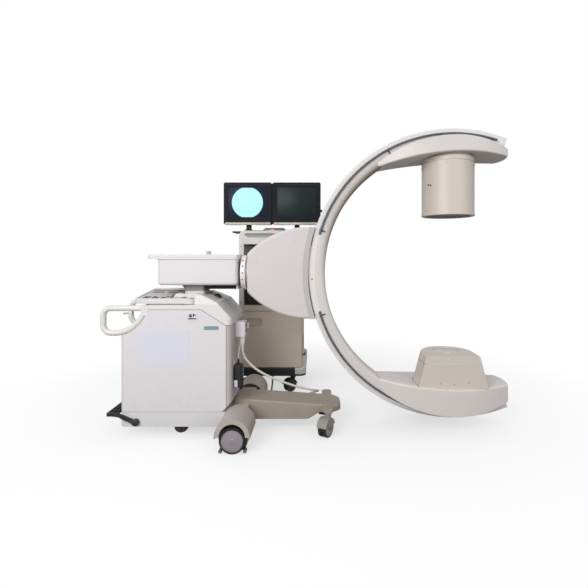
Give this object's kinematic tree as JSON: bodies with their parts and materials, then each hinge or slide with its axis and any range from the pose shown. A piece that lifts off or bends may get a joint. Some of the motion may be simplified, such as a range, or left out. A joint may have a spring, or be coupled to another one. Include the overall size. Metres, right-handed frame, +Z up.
{
  "type": "mobile c-arm x-ray",
  "caption": "Mobile C-arm X-ray: wheeled stand with lift column, sliding and turning C-arc carrying intensifier and tube, and its monitor trolley.",
  "frame": {"origin": "on the floor below the middle of the whole set", "axes": "+X from the push handles to the open side of the C, +Z up, +Y towards the monitor trolley"},
  "size_m": [2.1194, 1.484, 1.591],
  "materials": {
    "cover_white": "satin painted moulding, warm white",
    "cover_pale": "fine-grained moulding, pale warm grey",
    "chassis_taupe": "satin enamel, taupe",
    "leg_taupe": "satin enamel, darker taupe",
    "arc_white": "powder-coated extrusion, warm white",
    "housing_white": "satin moulding, warm white",
    "tank_beige": "enamelled tank, warm beige",
    "rail_steel": "ground steel",
    "grip_steel": "polished steel tube",
    "column_white": "powder-coated profile",
    "cast_grey": "painted casting",
    "rubber_black": "soft matt rubber",
    "cap_mauve": "moulded wheel cap",
    "castor_grey": "moulded nylon",
    "black_plastic": "fine-grained black moulding",
    "key_panel": "membrane panel",
    "knob_grey": "fluted knob",
    "cable_pale": "smooth PVC sheath",
    "trolley_panel": "textured enamel, brown grey",
    "trolley_frame": "painted frame, warm white",
    "trolley_base": "bumper moulding, light grey"
  },
  "bodies": {
    "root": {"chassis_beam": "chassis_taupe", "front_leg": "leg_taupe", "wheel_hoods": "chassis_taupe", "cabinet_frame": "cover_pale", "side_cover_near": "cover_white", "side_cover_far": "cover_white", "front_panel": "cover_white", "top_cover": "cover_white", "handles": "cover_white", "control_panel": "key_panel", "connector_block": "cover_white", "hand_switch": "black_plastic", "monitor_cable": "cable_pale", "outer_column": "column_white", "trolley_base": "trolley_base", "trolley_cabinet": "trolley_panel", "trolley_frame": "trolley_frame", "monitor_stand": "black_plastic"},
    "lift_stage": {"middle_column": "column_white"},
    "lift_top": {"inner_column": "column_white"},
    "swivel_head": {"column_head": "cast_grey", "bellows": "rubber_black"},
    "arm": {"arm_housing": "cover_white", "arm_lid": "cover_white"},
    "lock_knob": {"slide_lock_knob": "knob_grey"},
    "rotor": {"rotary_flange": "cast_grey", "arc_carriage": "housing_white"},
    "roller_lower": {"rollers_lower": "rail_steel"},
    "roller_upper": {"rollers_upper": "rail_steel"},
    "c_arm": {"c_arc": "arc_white", "guide_rails": "rail_steel", "handrails": "grip_steel", "upper_housing": "housing_white", "intensifier": "tank_beige", "lower_housing": "housing_white", "tube_head": "tank_beige", "tube_cover": "tank_beige"},
    "wheel_near": {"main_wheel_near": "cap_mauve"},
    "wheel_far": {"main_wheel_far": "cap_mauve"},
    "pedal": {"brake_pedal": "black_plastic"},
    "lever": {"brake_lever": "knob_grey"},
    "door": {"trolley_door": "trolley_panel"},
    "screen_left": {"monitor_left": "black_plastic"},
    "screen_right": {"monitor_right": "black_plastic"},
    "front_near_swivel": {"front_near_fork": "castor_grey"},
    "front_near_roll": {"front_near_wheel": "rubber_black"},
    "front_far_swivel": {"front_far_fork": "castor_grey"},
    "front_far_roll": {"front_far_wheel": "rubber_black"},
    "rear_near_swivel": {"rear_near_fork": "castor_grey"},
    "rear_near_roll": {"rear_near_wheel": "rubber_black"},
    "rear_far_swivel": {"rear_far_fork": "castor_grey"},
    "rear_far_roll": {"rear_far_wheel": "rubber_black"},
    "trolley_left_near_swivel": {"trolley_left_near_fork": "castor_grey"},
    "trolley_left_near_roll": {"trolley_left_near_wheel": "rubber_black"},
    "trolley_right_near_swivel": {"trolley_right_near_fork": "castor_grey"},
    "trolley_right_near_roll": {"trolley_right_near_wheel": "rubber_black"},
    "trolley_left_far_swivel": {"trolley_left_far_fork": "castor_grey"},
    "trolley_left_far_roll": {"trolley_left_far_wheel": "rubber_black"},
    "trolley_right_far_swivel": {"trolley_right_far_fork": "castor_grey"},
    "trolley_right_far_roll": {"trolley_right_far_wheel": "rubber_black"}
  },
  "joints": [
    {"name": "lift", "type": "slide", "parent": "root", "child": "lift_top", "axis": [0, 0, 1], "range_m": [0, 0.4]},
    {"name": "lift_stage", "type": "slide", "parent": "root", "child": "lift_stage", "axis": [0, 0, 1], "range_m": [0, 0.2]},
    {"name": "swivel", "type": "hinge", "parent": "lift_top", "child": "swivel_head", "pos_m": [-0.61125, -0.364, 0.728], "axis": [0, 0, 1], "range_deg": [-12.5, 12.5]},
    {"name": "arm_slide", "type": "slide", "parent": "swivel_head", "child": "arm", "axis": [1, 0, 0], "range_m": [-0.15, 0], "deforming": ["bellows"]},
    {"name": "slide_lock", "type": "hinge", "parent": "arm", "child": "lock_knob", "pos_m": [-0.53425, -0.434, 0.921], "axis": [0, 0, 1], "range_deg": [0, 90]},
    {"name": "angulation", "type": "hinge", "parent": "arm", "child": "rotor", "pos_m": [-0.41825, -0.364, 0.824], "axis": [1, 0, 0], "range_deg": [-190, 190]},
    {"name": "orbital", "type": "hinge", "parent": "rotor", "child": "c_arm", "pos_m": [0.76175, -0.364, 0.824], "axis": [0, 1, 0], "range_deg": [-90, 90]},
    {"name": "roller_lower_spin", "type": "hinge", "parent": "rotor", "child": "roller_lower", "pos_m": [0.00166, -0.364, 0.64852], "axis": [0, 1, 0], "range_deg": [-2250, 2250]},
    {"name": "roller_upper_spin", "type": "hinge", "parent": "rotor", "child": "roller_upper", "pos_m": [0.00166, -0.364, 0.99948], "axis": [0, 1, 0], "range_deg": [-2250, 2250]},
    {"name": "wheel_near_roll", "type": "hinge", "parent": "root", "child": "wheel_near", "pos_m": [-0.35325, -0.736, 0.062], "axis": [0, 1, 0], "continuous": true},
    {"name": "wheel_far_roll", "type": "hinge", "parent": "root", "child": "wheel_far", "pos_m": [-0.35325, 0.008, 0.062], "axis": [0, 1, 0], "continuous": true},
    {"name": "brake_pedal_tilt", "type": "hinge", "parent": "root", "child": "pedal", "pos_m": [-0.87225, -0.55, 0.078], "axis": [0, 1, 0], "range_deg": [-12, 12]},
    {"name": "brake_lever_squeeze", "type": "hinge", "parent": "root", "child": "lever", "pos_m": [-0.90425, -0.529, 0.6215], "axis": [0, 1, 0], "range_deg": [0, 10], "stiffness_Nm_per_rad": 0.4, "springref_deg": -11.46},
    {"name": "door_hinge", "type": "hinge", "parent": "root", "child": "door", "pos_m": [-0.06625, 0.145, 0.549], "axis": [0, 0, 1], "range_deg": [0, 90]},
    {"name": "screen_left_tilt", "type": "hinge", "parent": "root", "child": "screen_left", "pos_m": [-0.45325, 0.436, 1.25], "axis": [-1, 0, 0], "range_deg": [-5, 20]},
    {"name": "screen_right_tilt", "type": "hinge", "parent": "root", "child": "screen_right", "pos_m": [-0.10025, 0.436, 1.25], "axis": [-1, 0, 0], "range_deg": [-5, 20]},
    {"name": "front_near_swivel", "type": "hinge", "parent": "root", "child": "front_near_swivel", "pos_m": [0.09575, -0.514, 0.118], "axis": [0, 0, 1], "continuous": true},
    {"name": "front_near_roll", "type": "hinge", "parent": "front_near_swivel", "child": "front_near_roll", "pos_m": [0.0831, -0.53591, 0.046], "axis": [-0.866, 0.5, 0], "continuous": true},
    {"name": "front_far_swivel", "type": "hinge", "parent": "root", "child": "front_far_swivel", "pos_m": [0.09575, -0.214, 0.118], "axis": [0, 0, 1], "continuous": true},
    {"name": "front_far_roll", "type": "hinge", "parent": "front_far_swivel", "child": "front_far_roll", "pos_m": [0.0831, -0.23591, 0.046], "axis": [-0.866, 0.5, 0], "continuous": true},
    {"name": "rear_near_swivel", "type": "hinge", "parent": "root", "child": "rear_near_swivel", "pos_m": [-0.64625, -0.468, 0.106], "axis": [0, 0, 1], "continuous": true},
    {"name": "rear_near_roll", "type": "hinge", "parent": "rear_near_swivel", "child": "rear_near_roll", "pos_m": [-0.66486, -0.47477, 0.036], "axis": [-0.342, 0.9397, 0], "continuous": true},
    {"name": "rear_far_swivel", "type": "hinge", "parent": "root", "child": "rear_far_swivel", "pos_m": [-0.64625, -0.26, 0.106], "axis": [0, 0, 1], "continuous": true},
    {"name": "rear_far_roll", "type": "hinge", "parent": "rear_far_swivel", "child": "rear_far_roll", "pos_m": [-0.66486, -0.26677, 0.036], "axis": [-0.342, 0.9397, 0], "continuous": true},
    {"name": "trolley_left_near_swivel", "type": "hinge", "parent": "root", "child": "trolley_left_near_swivel", "pos_m": [-0.41225, 0.198, 0.1037], "axis": [0, 0, 1], "continuous": true},
    {"name": "trolley_left_near_roll", "type": "hinge", "parent": "trolley_left_near_swivel", "child": "trolley_left_near_roll", "pos_m": [-0.43117, 0.18475, 0.042], "axis": [-0.5736, 0.8192, 0], "continuous": true},
    {"name": "trolley_right_near_swivel", "type": "hinge", "parent": "root", "child": "trolley_right_near_swivel", "pos_m": [-0.11925, 0.198, 0.1037], "axis": [0, 0, 1], "continuous": true},
    {"name": "trolley_right_near_roll", "type": "hinge", "parent": "trolley_right_near_swivel", "child": "trolley_right_near_roll", "pos_m": [-0.13817, 0.18475, 0.042], "axis": [-0.5736, 0.8192, 0], "continuous": true},
    {"name": "trolley_left_far_swivel", "type": "hinge", "parent": "root", "child": "trolley_left_far_swivel", "pos_m": [-0.41225, 0.674, 0.1037], "axis": [0, 0, 1], "continuous": true},
    {"name": "trolley_left_far_roll", "type": "hinge", "parent": "trolley_left_far_swivel", "child": "trolley_left_far_roll", "pos_m": [-0.43117, 0.66075, 0.042], "axis": [-0.5736, 0.8192, 0], "continuous": true},
    {"name": "trolley_right_far_swivel", "type": "hinge", "parent": "root", "child": "trolley_right_far_swivel", "pos_m": [-0.11925, 0.674, 0.1037], "axis": [0, 0, 1], "continuous": true},
    {"name": "trolley_right_far_roll", "type": "hinge", "parent": "trolley_right_far_swivel", "child": "trolley_right_far_roll", "pos_m": [-0.13817, 0.66075, 0.042], "axis": [-0.5736, 0.8192, 0], "continuous": true}
  ],
  "couplings": [
    {"joint": "lift_stage", "follows": "lift", "ratio": 0.5},
    {"joint": "roller_lower_spin", "follows": "orbital", "ratio": -25},
    {"joint": "roller_upper_spin", "follows": "orbital", "ratio": -25}
  ]
}
